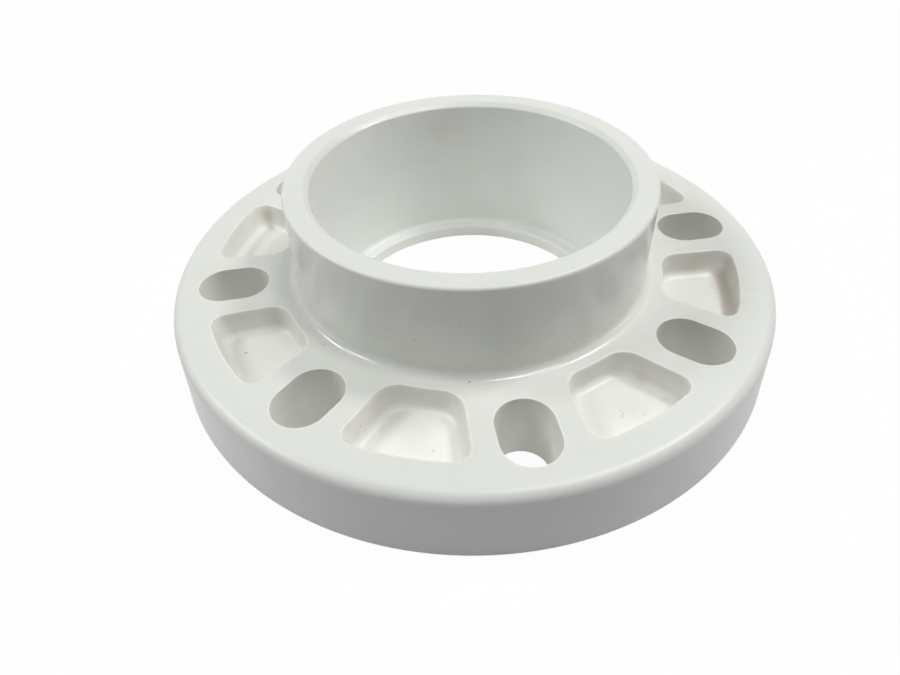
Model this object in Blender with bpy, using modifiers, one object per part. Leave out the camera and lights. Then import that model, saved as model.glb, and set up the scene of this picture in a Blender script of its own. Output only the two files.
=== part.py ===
"""Socket flange for a 4 inch plastic pressure pipe, moulded in one piece.

A flat disc carries a short hub. The pipe is cemented into the hub's socket and stops against a
ledge. Eight long slots take the bolts of several flange standards, and eight blind pockets
between them keep the wall even, so that the thick disc cools without sinking.

The origin is the centre of the sealing face, +Z points out of the socket, and the first bolt
slot lies along +X. Everything is in metres.
"""

import math

import bmesh
import bpy

# The disc
FLANGE_DIAMETER = 0.2310
FLANGE_THICKNESS = 0.0266
RIM_DRAFT = math.radians(4.0)
RIM_EDGE_RADIUS = 0.0040
SEALING_EDGE_RADIUS = 0.0006

# The hub
TOTAL_HEIGHT = 0.0625
HUB_DIAMETER = 0.1338
HUB_DRAFT = math.radians(0.5)
HUB_TOP_RADIUS = 0.0012
HUB_FOOT_FILLET = 0.0035

# The socket: its mouth is a little wider than the pipe and its root a little tighter
PIPE_DIAMETER = 0.1143
MOUTH_CLEARANCE = 0.0004
ROOT_GRIP = 0.0002
MOUTH_CHAMFER_WIDTH = 0.0020
MOUTH_CHAMFER_DEPTH = 0.0016
STOP_THICKNESS = 0.0054
STOP_WIDTH = 0.0056
STOP_ROOT_FILLET = 0.0020
STOP_EDGE_RADIUS = 0.0010

# The bolt slots: the disc has room for them between hub and rim, and their two bolt circles
# lie at these shares of the room that the slot's own width leaves
BOLT_COUNT = 8
SLOT_WIDTH = 0.0190
SMALL_CIRCLE_SHARE = 0.4024
LARGE_CIRCLE_SHARE = 0.6631
SLOT_EDGE_RADIUS = 0.0005

# The pockets between the slots: the wall beside the hub stands steeper than the others
POCKET_DEPTH = 0.0095
POCKET_HUB_WALL_DRAFT = math.radians(2.0)
POCKET_WALL_DRAFT = math.radians(12.0)
POCKET_FLOOR_FILLET = 0.0032
POCKET_EDGE_RADIUS = 0.0010
POCKET_HUB_LAND = 0.0030
POCKET_RIM_WALL = 0.0128
WEB_AT_HUB = 0.0070
WEB_AT_RIM = 0.0088
POCKET_INNER_CORNER = 0.0081
POCKET_OUTER_CORNER = 0.0048

# The shallow rings in the sealing face, which bite into the gasket
GROOVE_COUNT = 3
GROOVE_PITCH = 0.0060
GROOVE_WIDTH = 0.0020
GROOVE_DEPTH = 0.0008
GROOVE_BORE_LAND = 0.0070

# How finely round shapes are divided
TURN_STEPS = 80
SLOT_END_STEPS = 10
POCKET_ARC_STEPS = 2
POCKET_CORNER_STEPS = 4
CUT_MARGIN = 0.0020

WHITE_PLASTIC = (0.80, 0.82, 0.80, 1.0)


def hub_radius(height):
    """Outer radius of the hub, which widens downwards by its draft."""
    return HUB_DIAMETER / 2 + (TOTAL_HEIGHT - height) * math.tan(HUB_DRAFT)


def rim_radius(height):
    """Outer radius of the disc, which narrows upwards by its draft."""
    return FLANGE_DIAMETER / 2 - height * math.tan(RIM_DRAFT)


MOUTH_RADIUS = (PIPE_DIAMETER + MOUTH_CLEARANCE) / 2
ROOT_RADIUS = (PIPE_DIAMETER - ROOT_GRIP) / 2
BORE_RADIUS = ROOT_RADIUS - STOP_WIDTH

SLOT_ROOM = rim_radius(FLANGE_THICKNESS) - hub_radius(FLANGE_THICKNESS) - SLOT_WIDTH
NEAREST_BOLT = hub_radius(FLANGE_THICKNESS) + SLOT_WIDTH / 2
SMALL_BOLT_CIRCLE = 2 * (NEAREST_BOLT + SMALL_CIRCLE_SHARE * SLOT_ROOM)
LARGE_BOLT_CIRCLE = 2 * (NEAREST_BOLT + LARGE_CIRCLE_SHARE * SLOT_ROOM)

POCKET_INNER_RADIUS = hub_radius(FLANGE_THICKNESS) + HUB_FOOT_FILLET + POCKET_HUB_LAND
POCKET_OUTER_RADIUS = rim_radius(FLANGE_THICKNESS) - POCKET_RIM_WALL
POCKET_LEAN = POCKET_DEPTH * (math.tan(POCKET_HUB_WALL_DRAFT) + math.tan(POCKET_WALL_DRAFT))
POCKET_FLOOR_LENGTH = POCKET_OUTER_RADIUS - POCKET_INNER_RADIUS - POCKET_LEAN

# A narrow disc has short pockets, whose roundings then stay within their own walls
INNER_CORNER = min(POCKET_INNER_CORNER, POCKET_FLOOR_LENGTH / 2)
OUTER_CORNER = min(POCKET_OUTER_CORNER, POCKET_FLOOR_LENGTH / 3)
FLOOR_FILLET = min(POCKET_FLOOR_FILLET, 0.7 * OUTER_CORNER)


def arc(centre, radius, start, end, steps):
    """Points on an arc from one angle to another, both ends included."""
    points = []
    for step in range(steps + 1):
        angle = start + (end - start) * step / steps
        points.append((centre[0] + radius * math.cos(angle), centre[1] + radius * math.sin(angle)))
    return points


def rounded_corner(before, corner, after, radius, steps):
    """The arc that touches both lines of a corner, or the corner itself where radius is zero."""
    if radius == 0.0:
        return [corner]
    to_before = math.atan2(before[1] - corner[1], before[0] - corner[0])
    to_after = math.atan2(after[1] - corner[1], after[0] - corner[0])
    turn = (to_after - to_before + math.pi) % (2 * math.pi) - math.pi
    middle = to_before + turn / 2
    reach = radius / math.sin(abs(turn) / 2)
    centre = (corner[0] + reach * math.cos(middle), corner[1] + reach * math.sin(middle))
    sweep = math.copysign(math.pi - abs(turn), turn)
    start = middle + math.pi + sweep / 2
    return arc(centre, radius, start, start - sweep, steps)


def body_section():
    """Half section of the body as (radius, height) points: down the outside, back up the bore.

    Each corner is given sharp, with its rounding and how many steps the rounding takes.
    """
    corners = [
        ((MOUTH_RADIUS + MOUTH_CHAMFER_WIDTH, TOTAL_HEIGHT), 0.0, 1),
        ((hub_radius(TOTAL_HEIGHT), TOTAL_HEIGHT), HUB_TOP_RADIUS, 2),
        ((hub_radius(FLANGE_THICKNESS), FLANGE_THICKNESS), HUB_FOOT_FILLET, 4),
        ((rim_radius(FLANGE_THICKNESS), FLANGE_THICKNESS), RIM_EDGE_RADIUS, 4),
        ((rim_radius(0.0), 0.0), SEALING_EDGE_RADIUS, 1),
    ]
    for number in reversed(range(GROOVE_COUNT)):
        middle = BORE_RADIUS + GROOVE_BORE_LAND + number * GROOVE_PITCH
        corners.append(((middle + GROOVE_WIDTH / 2, 0.0), 0.0, 1))
        corners.append(((middle, GROOVE_DEPTH), 0.0, 1))
        corners.append(((middle - GROOVE_WIDTH / 2, 0.0), 0.0, 1))
    corners += [
        ((BORE_RADIUS, 0.0), SEALING_EDGE_RADIUS, 1),
        ((BORE_RADIUS, STOP_THICKNESS), STOP_EDGE_RADIUS, 2),
        ((ROOT_RADIUS, STOP_THICKNESS), STOP_ROOT_FILLET, 3),
        ((MOUTH_RADIUS, TOTAL_HEIGHT - MOUTH_CHAMFER_DEPTH), 0.0, 1),
    ]
    section = []
    for number, (corner, radius, steps) in enumerate(corners):
        before = corners[number - 1][0]
        after = corners[(number + 1) % len(corners)][0]
        section += rounded_corner(before, corner, after, radius, steps)
    return section


def slot_outline(inset, depth):
    """A bolt slot round the +X axis: two half circles, one on each bolt circle.

    Its walls are upright, so it is the same at every depth, apart from the inset.
    """
    radius = SLOT_WIDTH / 2 - inset
    quarter = math.pi / 2
    outline = arc((LARGE_BOLT_CIRCLE / 2, 0.0), radius, -quarter, quarter, SLOT_END_STEPS)
    outline += arc((SMALL_BOLT_CIRCLE / 2, 0.0), radius, quarter, 3 * quarter, SLOT_END_STEPS)
    return outline


def pocket_side():
    """The sharp side of a pocket as a point and a unit direction, for a pocket round +X.

    The side runs beside the next slot, and leaves a web to it that is given at both ends.
    """
    half_pitch = math.pi / BOLT_COUNT
    ends = []
    for along, web in ((POCKET_INNER_RADIUS, WEB_AT_HUB), (POCKET_OUTER_RADIUS, WEB_AT_RIM)):
        offset = SLOT_WIDTH / 2 + web
        ends.append((
            along * math.cos(half_pitch) + offset * math.sin(half_pitch),
            along * math.sin(half_pitch) - offset * math.cos(half_pitch),
        ))
    run = (ends[1][0] - ends[0][0], ends[1][1] - ends[0][1])
    length = math.hypot(run[0], run[1])
    return ends[0], (run[0] / length, run[1] / length)


def pocket_outline(inset, depth):
    """A pocket round the +X axis at some depth, where inset more is taken off each wall.

    Its inner and outer ends are arcs about the flange's own axis, and each wall leans inwards
    with the depth by its own draft. Each corner is the circle that touches the side and the arc
    beside it: its centre is where the line one corner radius inside the side has the right
    distance to the axis.
    """
    (side_x, side_y), (run_x, run_y) = pocket_side()
    normal = (-run_y, run_x)
    side_angle = math.atan2(normal[1], normal[0])
    inner = POCKET_INNER_RADIUS + inset + depth * math.tan(POCKET_HUB_WALL_DRAFT)
    outer = POCKET_OUTER_RADIUS - inset - depth * math.tan(POCKET_WALL_DRAFT)
    side_inset = inset + depth * math.tan(POCKET_WALL_DRAFT)
    inner_corner = INNER_CORNER - inset
    outer_corner = OUTER_CORNER - inset

    def corner_centre(corner, distance):
        start_x = side_x - normal[0] * (side_inset + corner)
        start_y = side_y - normal[1] * (side_inset + corner)
        along = start_x * run_x + start_y * run_y
        travel = math.sqrt(along**2 + distance**2 - start_x**2 - start_y**2) - along
        return start_x + travel * run_x, start_y + travel * run_y

    inner_centre = corner_centre(inner_corner, inner + inner_corner)
    outer_centre = corner_centre(outer_corner, outer - outer_corner)
    inner_angle = math.atan2(inner_centre[1], inner_centre[0])
    outer_angle = math.atan2(outer_centre[1], outer_centre[0])
    half = arc((0.0, 0.0), outer, 0.0, outer_angle, POCKET_ARC_STEPS)
    half += arc(outer_centre, outer_corner, outer_angle, side_angle, POCKET_CORNER_STEPS)[1:]
    half += arc(inner_centre, inner_corner, side_angle, inner_angle + math.pi, POCKET_CORNER_STEPS)
    half += arc((0.0, 0.0), inner, inner_angle, 0.0, POCKET_ARC_STEPS)[1:]
    mirrored = [(x, -y) for x, y in reversed(half[1:-1])]
    return half + mirrored


def edge_flare(radius, steps):
    """(inset, depth) pairs for a cutter that leaves a rounded edge in the face it cuts."""
    return arc((-radius, radius), radius, -math.pi / 2, 0.0, steps)


def floor_fillet(radius, depth, steps):
    """(inset, depth) pairs of the rounding between a cutter's wall and its floor at depth."""
    return arc((radius, depth - radius), radius, math.pi, math.pi / 2, steps)


def lofted_mesh(name, outline_at, levels):
    """A closed mesh through one outline at several levels, each an (inset, depth) pair.

    Depths count down from the disc's top face.
    """
    mesh = bpy.data.meshes.new(name)
    loft = bmesh.new()
    rings = []
    for inset, depth in levels:
        height = FLANGE_THICKNESS - depth
        ring = [loft.verts.new((x, y, height)) for x, y in outline_at(inset, depth)]
        rings.append(ring)
    for upper, lower in zip(rings, rings[1:]):
        for number, vertex in enumerate(upper):
            loft.faces.new((upper[number - 1], vertex, lower[number], lower[number - 1]))
    loft.faces.new(rings[0])
    loft.faces.new(list(reversed(rings[-1])))
    bmesh.ops.recalc_face_normals(loft, faces=loft.faces)
    loft.to_mesh(mesh)
    loft.free()
    mesh.shade_smooth()
    mesh.set_sharp_from_angle(angle=math.radians(40))
    return mesh


def turned_body(name, collection):
    """The disc and hub as one turned shape: the half section with a Screw modifier."""
    section = body_section()
    mesh = bpy.data.meshes.new(name)
    edges = [(number, (number + 1) % len(section)) for number in range(len(section))]
    mesh.from_pydata([(radius, 0.0, height) for radius, height in section], edges, [])
    body = bpy.data.objects.new(name, mesh)
    collection.objects.link(body)
    turn = body.modifiers.new("turn", "SCREW")
    turn.axis = "Z"
    turn.angle = 2 * math.pi
    turn.steps = TURN_STEPS
    turn.render_steps = TURN_STEPS
    turn.use_merge_vertices = True
    turn.merge_threshold = 0.00001
    turn.use_smooth_shade = True
    return body


def cut(body, name, mesh, turn, cutters):
    """Take a cutter's shape, turned about the flange's axis, out of the body."""
    cutter = bpy.data.objects.new(name, mesh)
    cutter.rotation_euler.z = turn
    cutter.hide_render = True
    cutter.display_type = "WIRE"
    cutters.objects.link(cutter)
    modifier = body.modifiers.new(name, "BOOLEAN")
    modifier.operation = "DIFFERENCE"
    modifier.solver = "EXACT"
    modifier.object = cutter


def gloss_plastic(name):
    """Rigid white plastic with the soft shine of a polished mould."""
    material = bpy.data.materials.new(name)
    material.use_nodes = True
    shader = material.node_tree.nodes["Principled BSDF"]
    shader.inputs["Base Color"].default_value = WHITE_PLASTIC
    shader.inputs["Roughness"].default_value = 0.28
    shader.inputs["Metallic"].default_value = 0.0
    material.diffuse_color = WHITE_PLASTIC
    return material


def slot_levels():
    """Levels of a slot's cutter: a small rounding at the top face, then straight through."""
    levels = [(-SLOT_EDGE_RADIUS, -CUT_MARGIN)]
    levels += edge_flare(SLOT_EDGE_RADIUS, 1)
    levels.append((0.0, FLANGE_THICKNESS + CUT_MARGIN))
    return levels


def pocket_levels():
    """Levels of a pocket's cutter: rounded edge, leaning wall, fillet and flat floor."""
    levels = [(-POCKET_EDGE_RADIUS, -CUT_MARGIN)]
    levels += edge_flare(POCKET_EDGE_RADIUS, 1)
    levels += floor_fillet(FLOOR_FILLET, POCKET_DEPTH, 3)
    return levels


def build():
    """Model the flange: turn the body, then cut its slots and pockets."""
    for leftover in list(bpy.data.objects):
        bpy.data.objects.remove(leftover, do_unlink=True)
    scene = bpy.context.scene
    flange_parts = bpy.data.collections.new("socket_flange")
    cutters = bpy.data.collections.new("cutters")
    scene.collection.children.link(flange_parts)
    scene.collection.children.link(cutters)

    body = turned_body("socket_flange", flange_parts)
    body.data.materials.append(gloss_plastic("white_plastic"))

    slot = lofted_mesh("slot", slot_outline, slot_levels())
    pocket = lofted_mesh("pocket", pocket_outline, pocket_levels())
    pitch = 2 * math.pi / BOLT_COUNT
    for number in range(BOLT_COUNT):
        cut(body, f"slot_{number + 1}", slot, number * pitch, cutters)
        cut(body, f"pocket_{number + 1}", pocket, (number + 0.5) * pitch, cutters)


build()
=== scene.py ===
# %% [markdown]
# # A moulded socket flange
#
# The real object is one piece of white rigid plastic: a thick disc with eight long bolt slots and
# eight blind pockets, round a short hub that a pipe is cemented into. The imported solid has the
# right sizes, but its round walls are faceted. This lesson builds the same shape again as fine
# surfaces, gives each of them the finish that the mould left, and lights it softly.

import math

import bmesh
import bpy
import numpy as np
from mathutils import Matrix, Vector
from mathutils.bvhtree import BVHTree


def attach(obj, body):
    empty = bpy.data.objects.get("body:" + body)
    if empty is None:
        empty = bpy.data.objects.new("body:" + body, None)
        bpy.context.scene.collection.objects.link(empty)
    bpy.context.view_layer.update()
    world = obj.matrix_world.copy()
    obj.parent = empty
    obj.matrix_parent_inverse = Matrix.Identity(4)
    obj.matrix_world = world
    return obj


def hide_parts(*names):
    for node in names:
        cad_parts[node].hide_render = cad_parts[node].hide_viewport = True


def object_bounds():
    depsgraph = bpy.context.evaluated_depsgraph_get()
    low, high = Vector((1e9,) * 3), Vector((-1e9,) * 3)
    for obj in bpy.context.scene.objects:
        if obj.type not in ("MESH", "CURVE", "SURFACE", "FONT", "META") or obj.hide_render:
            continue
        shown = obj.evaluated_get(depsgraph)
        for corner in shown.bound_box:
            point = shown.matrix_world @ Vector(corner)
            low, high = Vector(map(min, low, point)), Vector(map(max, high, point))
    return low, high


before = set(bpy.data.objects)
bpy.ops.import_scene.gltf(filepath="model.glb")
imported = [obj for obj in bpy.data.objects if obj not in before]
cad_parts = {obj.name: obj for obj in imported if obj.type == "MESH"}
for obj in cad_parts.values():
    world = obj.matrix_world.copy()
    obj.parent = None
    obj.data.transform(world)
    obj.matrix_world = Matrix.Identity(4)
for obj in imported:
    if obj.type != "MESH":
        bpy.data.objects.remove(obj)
cad_low, cad_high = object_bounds()
print("CAD box in metres:", list(cad_low), list(cad_high))

# %% [markdown]
# ## Sizes
#
# The overall height comes from the frame. The other sizes are those of the mould, in metres, and
# whatever fits something else is worked out from them, so that the surfaces always meet. The edges
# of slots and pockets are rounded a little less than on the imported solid, because the light rings
# along them are thin in the photo.

# %% Sizes of the mould
TOTAL_HEIGHT = cad_high[2]

FLANGE_RADIUS = 0.11549
FLANGE_THICKNESS = 0.0266
RIM_DRAFT = math.radians(4.0)
RIM_EDGE_RADIUS = 0.0040
FACE_EDGE_RADIUS = 0.0006

HUB_TOP_OUTER_RADIUS = 0.0669
HUB_DRAFT = math.radians(0.5)
HUB_TOP_ROUND = 0.0012
HUB_FOOT_FILLET = 0.0035

MOUTH_RADIUS = 0.05735
ROOT_RADIUS = 0.05705
MOUTH_CHAMFER = (0.0020, 0.0016)
CHAMFER_ROUND = 0.0009
STOP_THICKNESS = 0.0054
STOP_WIDTH = 0.0056
STOP_ROOT_FILLET = 0.0020
STOP_EDGE_ROUND = 0.0010

SLOT_COUNT = 8
SLOT_RADIUS = 0.0095
SLOT_NEAR_END = 0.08775
SLOT_FAR_END = 0.0949
SLOT_TOP_ROUND = 0.0002
SLOT_FOOT_ROUND = 0.0003

POCKET_DEPTH = 0.0095
POCKET_HUB_WALL_DRAFT = math.radians(2.0)
POCKET_WALL_DRAFT = math.radians(12.0)
POCKET_FLOOR_FILLET = 0.0026
POCKET_EDGE_ROUND = 0.0004
POCKET_HUB_LAND = 0.0030
POCKET_RIM_WALL = 0.0128
WEB_AT_HUB = 0.0070
WEB_AT_RIM = 0.0088
POCKET_INNER_CORNER = 0.0081
POCKET_OUTER_CORNER = 0.0048

GROOVE_COUNT = 3
GROOVE_PITCH = 0.0060
GROOVE_WIDTH = 0.0020
GROOVE_DEPTH = 0.0008
GROOVE_BORE_LAND = 0.0070
GROOVE_ROUND = 0.0003


def hub_radius(height):
    """Outer radius of the hub: it widens downwards by its draft."""
    return HUB_TOP_OUTER_RADIUS + (TOTAL_HEIGHT - height) * math.tan(HUB_DRAFT)


def rim_radius(height):
    """Outer radius of the disc: it narrows upwards by its draft."""
    return FLANGE_RADIUS - height * math.tan(RIM_DRAFT)


BORE_RADIUS = ROOT_RADIUS - STOP_WIDTH
POCKET_INNER = hub_radius(FLANGE_THICKNESS) + HUB_FOOT_FILLET + POCKET_HUB_LAND
POCKET_OUTER = rim_radius(FLANGE_THICKNESS) - POCKET_RIM_WALL
print(f"bore {BORE_RADIUS * 2000:.1f} mm across")
print(f"pockets from {POCKET_INNER * 1000:.1f} to {POCKET_OUTER * 1000:.1f} mm from the axis")

# %% [markdown]
# ## Rounded outlines
#
# A mould maker draws a section with sharp corners and then breaks each one with a radius. The
# same could be done with Bevel, but then the pockets' drafts and corners could not be steered.
# Here each corner is replaced by the arc that touches both of its lines, and the straight runs
# get a point close to each end, so that smooth shading stays flat on the flat walls.

# %% Arcs and straight runs
SUPPORT = 0.00025


def unit(vector):
    """The vector divided by its length."""
    return vector / np.linalg.norm(vector)


def corner_arc(before, corner, after, radius, steps):
    """The arc of the circle that touches both lines of a corner.

    With half the corner's angle h, the circle's centre is radius / sin(h) along the bisector and
    the touching points are radius / tan(h) along the lines. From the first to the second, seen
    from the centre, the spoke is (sin((1 - t) a) first + sin(t a) second) / sin(a), with a the
    angle that the arc turns through.
    """
    corner = np.asarray(corner, float)
    if radius == 0.0:
        return corner[None, :]
    back = unit(np.asarray(before, float) - corner)
    ahead = unit(np.asarray(after, float) - corner)
    half = 0.5 * math.acos(float(np.clip(back @ ahead, -1.0, 1.0)))
    centre = corner + unit(back + ahead) * radius / math.sin(half)
    first = corner + back * radius / math.tan(half) - centre
    second = corner + ahead * radius / math.tan(half) - centre
    turn = math.pi - 2.0 * half
    share = np.linspace(0.0, 1.0, steps + 1)[:, None]
    spokes = np.sin((1.0 - share) * turn) * first + np.sin(share * turn) * second
    return centre + spokes / math.sin(turn)


def straight_run(start, end, longest):
    """Points between two ends, without the ends: one close to each, the others evenly spread."""
    length = np.linalg.norm(end - start)
    if length < 3.0 * SUPPORT:
        return np.zeros((0, 2))
    count = max(1, math.ceil((length - 2.0 * SUPPORT) / longest))
    places = np.linspace(SUPPORT / length, 1.0 - SUPPORT / length, count + 1)[:, None]
    return start + places * (end - start)


def rounded_line(corners, longest):
    """A line through corners, each given as (point, radius, steps), with its ends left sharp."""
    points = [np.asarray(point, float) for point, _, _ in corners]
    line = [points[0][None, :]]
    for number in range(1, len(corners)):
        if number == len(corners) - 1:
            piece = points[-1][None, :]
        else:
            _, radius, steps = corners[number]
            before, corner, after = points[number - 1 : number + 2]
            piece = corner_arc(before, corner, after, radius, steps)
        line.append(straight_run(line[-1][-1], piece[0], longest))
        line.append(piece)
    return np.concatenate(line)


quarter_turn = corner_arc((1.0, 0.0), (0.0, 0.0), (0.0, 1.0), 1.0, 4)
print("a square corner rounded in 4 steps:", quarter_turn.round(2).tolist())

# %% [markdown]
# ## The turned walls
#
# Hub, socket, bore and rim are all round, and could be turned with a Screw modifier. Working them
# out as a grid of angle and profile point gives control of how many columns go round, which must
# match the cells of the disc's face further down.

# %% Half sections
STEPS_AROUND = 400
CELL_INNER = 0.0720
CELL_OUTER = 0.1080
LONGEST_RUN = 0.0060

inner_section = [
    ((CELL_INNER, FLANGE_THICKNESS), 0.0, 1),
    ((hub_radius(FLANGE_THICKNESS), FLANGE_THICKNESS), HUB_FOOT_FILLET, 9),
    ((HUB_TOP_OUTER_RADIUS, TOTAL_HEIGHT), HUB_TOP_ROUND, 6),
    ((MOUTH_RADIUS + MOUTH_CHAMFER[0], TOTAL_HEIGHT), CHAMFER_ROUND, 3),
    ((MOUTH_RADIUS, TOTAL_HEIGHT - MOUTH_CHAMFER[1]), CHAMFER_ROUND, 3),
    ((ROOT_RADIUS, STOP_THICKNESS), STOP_ROOT_FILLET, 7),
    ((BORE_RADIUS, STOP_THICKNESS), STOP_EDGE_ROUND, 5),
    ((BORE_RADIUS, 0.0), FACE_EDGE_RADIUS, 3),
]
for number in range(GROOVE_COUNT):
    middle = BORE_RADIUS + GROOVE_BORE_LAND + number * GROOVE_PITCH
    inner_section.append(((middle - GROOVE_WIDTH / 2, 0.0), GROOVE_ROUND, 1))
    inner_section.append(((middle, GROOVE_DEPTH), GROOVE_ROUND, 2))
    inner_section.append(((middle + GROOVE_WIDTH / 2, 0.0), GROOVE_ROUND, 1))
inner_section.append(((CELL_INNER, 0.0), 0.0, 1))

outer_section = [
    ((CELL_OUTER, FLANGE_THICKNESS), 0.0, 1),
    ((rim_radius(FLANGE_THICKNESS), FLANGE_THICKNESS), RIM_EDGE_RADIUS, 9),
    ((FLANGE_RADIUS, 0.0), FACE_EDGE_RADIUS, 3),
    ((CELL_OUTER, 0.0), 0.0, 1),
]

inner_profile = rounded_line(inner_section, LONGEST_RUN)
outer_profile = rounded_line(outer_section, LONGEST_RUN)
print("profile points:", len(inner_profile), "inside and", len(outer_profile), "outside")


# %% Carry a profile round the axis
def revolved(profile, angles):
    """Grid of a profile carried round the axis: x = r cos(a), y = r sin(a), z = height."""
    radius = profile[:, 0][:, None]
    height = profile[:, 1][:, None] + 0.0 * angles
    return np.stack([radius * np.cos(angles), radius * np.sin(angles), height], axis=-1)


around = np.arange(STEPS_AROUND) * 2.0 * math.pi / STEPS_AROUND
inner_walls = revolved(inner_profile, around)
outer_walls = revolved(outer_profile, around)
print("turned grids:", inner_walls.shape[:2], outer_walls.shape[:2])

# %% [markdown]
# ## The cells of the disc
#
# Between the hub's foot and the rim, the disc is divided into sixteen sectors: a narrow one round
# each slot and a wider one round each pocket. In each, a loop of points runs along the sector's
# edge, and loops with the same number of points follow the hole's outline. The surface between
# two loops is then a plain grid. A Boolean would be quicker to write, but it leaves long thin
# triangles that spoil the gloss near the edges.

# %% Loops along a sector and a hole
PITCH = 2.0 * math.pi / SLOT_COUNT
STEP_ANGLE = 2.0 * math.pi / STEPS_AROUND
SLOT_HALF_STEPS = 10
POCKET_HALF_STEPS = STEPS_AROUND // SLOT_COUNT // 2 - SLOT_HALF_STEPS
SIDE_STEPS = 24
DENSE = 48


def arc(centre, radius, start, end, steps=DENSE):
    """Points centre + radius (cos a, sin a), with a from start to end."""
    angle = np.linspace(start, end, steps + 1)
    return np.asarray(centre, float) + radius * np.stack([np.cos(angle), np.sin(angle)], axis=1)


def resampled(path, count):
    """count + 1 points at even arc length along a path of points."""
    lengths = np.hypot(*np.diff(path, axis=0).T)
    along = np.concatenate([[0.0], np.cumsum(lengths)])
    places = np.linspace(0.0, along[-1], count + 1)
    return np.column_stack([np.interp(places, along, column) for column in path.T])


def mirrored_loop(half):
    """A closed loop from the half above the X axis, whose first and last points are on the axis."""
    return np.concatenate([half, half[-2:0:-1] * (1.0, -1.0)])


def sector_loop(half_steps):
    """Loop along a sector's edge: outer arc, side, inner arc, and the same below the X axis."""
    half_angle = half_steps * STEP_ANGLE
    side = np.linspace(CELL_OUTER, CELL_INNER, SIDE_STEPS + 1)[:, None]
    side = side * (math.cos(half_angle), math.sin(half_angle))
    outer = arc((0.0, 0.0), CELL_OUTER, 0.0, half_angle, half_steps)
    inner = arc((0.0, 0.0), CELL_INNER, half_angle, 0.0, half_steps)
    return mirrored_loop(np.concatenate([outer, side[1:], inner[1:]]))


def hole_loop(outer_end, outer_corner, inner_corner, inner_end, half_steps):
    """Loop along a hole whose half is made of four paths.

    The middle of each corner path is set against a corner of the sector, which keeps the grid
    between the two loops straight.
    """
    middle = len(outer_corner) // 2
    end_out = np.concatenate([outer_end, outer_corner[: middle + 1]])
    side = np.concatenate([outer_corner[middle:], inner_corner[: middle + 1]])
    end_in = np.concatenate([inner_corner[middle:], inner_end])
    return mirrored_loop(np.concatenate([
        resampled(end_out, half_steps),
        resampled(side, SIDE_STEPS)[1:],
        resampled(end_in, half_steps)[1:],
    ]))


def slot_loop(inset, depth):
    """Slot outline round +X: half circles of the slot's radius less the inset, on both ends."""
    radius = SLOT_RADIUS - inset
    quarter = math.pi / 2
    far_end = arc((SLOT_FAR_END, 0.0), radius, 0.0, 0.0, 1)
    far_corner = arc((SLOT_FAR_END, 0.0), radius, 0.0, quarter)
    near_corner = arc((SLOT_NEAR_END, 0.0), radius, quarter, 2.0 * quarter)
    near_end = near_corner[-1:]
    return hole_loop(far_end, far_corner, near_corner, near_end, SLOT_HALF_STEPS)


def pocket_side():
    """The pocket's sharp side: a point on it and its direction, for a pocket round +X.

    It runs beside the next slot and leaves the web to it that is named for each end.
    """
    half_pitch = PITCH / 2.0
    along = np.array([POCKET_INNER, POCKET_OUTER])
    offset = SLOT_RADIUS + np.array([WEB_AT_HUB, WEB_AT_RIM])
    ends = np.stack([
        along * math.cos(half_pitch) + offset * math.sin(half_pitch),
        along * math.sin(half_pitch) - offset * math.cos(half_pitch),
    ], axis=1)
    return ends[0], unit(ends[1] - ends[0])


def pocket_loop(inset, depth):
    """Pocket outline round +X at some depth, with inset more taken off each wall.

    Its ends are arcs about the flange's axis, and each wall leans inwards with the depth by its
    own draft. A corner is the circle that touches the side and the end arc: its centre is where
    the line one corner radius inside the side has the right distance to the axis.
    """
    start, run = pocket_side()
    normal = np.array([-run[1], run[0]])
    side_angle = math.atan2(normal[1], normal[0])
    inner = POCKET_INNER + inset + depth * math.tan(POCKET_HUB_WALL_DRAFT)
    outer = POCKET_OUTER - inset - depth * math.tan(POCKET_WALL_DRAFT)
    side_inset = inset + depth * math.tan(POCKET_WALL_DRAFT)

    def touching(corner, distance):
        """Centre and azimuth of a corner circle at a distance from the flange's axis."""
        line = start - normal * (side_inset + corner)
        along = float(line @ run)
        centre = line + run * (math.sqrt(along**2 + distance**2 - float(line @ line)) - along)
        return centre, math.atan2(centre[1], centre[0])

    inner_round, outer_round = POCKET_INNER_CORNER - inset, POCKET_OUTER_CORNER - inset
    inner_centre, inner_angle = touching(inner_round, inner + inner_round)
    outer_centre, outer_angle = touching(outer_round, outer - outer_round)
    return hole_loop(
        arc((0.0, 0.0), outer, 0.0, outer_angle),
        arc(outer_centre, outer_round, outer_angle, side_angle),
        arc(inner_centre, inner_round, side_angle, inner_angle + math.pi),
        arc((0.0, 0.0), inner, inner_angle, 0.0),
        POCKET_HALF_STEPS,
    )


print("points round a slot and a pocket:", len(slot_loop(0.0, 0.0)), len(pocket_loop(0.0, 0.0)))

# %% [markdown]
# ## Slots and pockets as stacks of loops
#
# A stack lists how far the hole's loop is inset at each depth, and is drawn as a rounded line of
# (inset, depth) points. The stack of a slot is a small rounding, an upright wall and the foot. The
# stack of a pocket is a rounding, a leaning wall, a fillet and the floor, which closes in a fan
# round its middle.

# %% Stacks of loops
def stack(loop_at, levels):
    """Grid of one hole's loops at its levels: rows go down, columns go round."""
    rows = []
    for inset, depth in levels:
        loop = loop_at(inset, depth)
        rows.append(np.column_stack([loop, np.full(len(loop), FLANGE_THICKNESS - depth)]))
    return np.stack(rows)


def between(first, second, shares):
    """Grid of flat loops (1 - t) first + t second, one row for each share t."""
    shares = np.asarray(shares, float)[:, None, None]
    return (1.0 - shares) * first + shares * second


def at_height(loop, height):
    """A flat loop lifted to a height."""
    return np.column_stack([loop, np.full(len(loop), height)])


FACE_SHARES = (0.0, 0.35, 0.7, 1.0)
FOOT_SHARES = (0.0, 0.3, 0.65, 1.0)
FLOOR_SHARES = (0.0, 0.25, 0.5, 0.75, 0.93)

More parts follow.
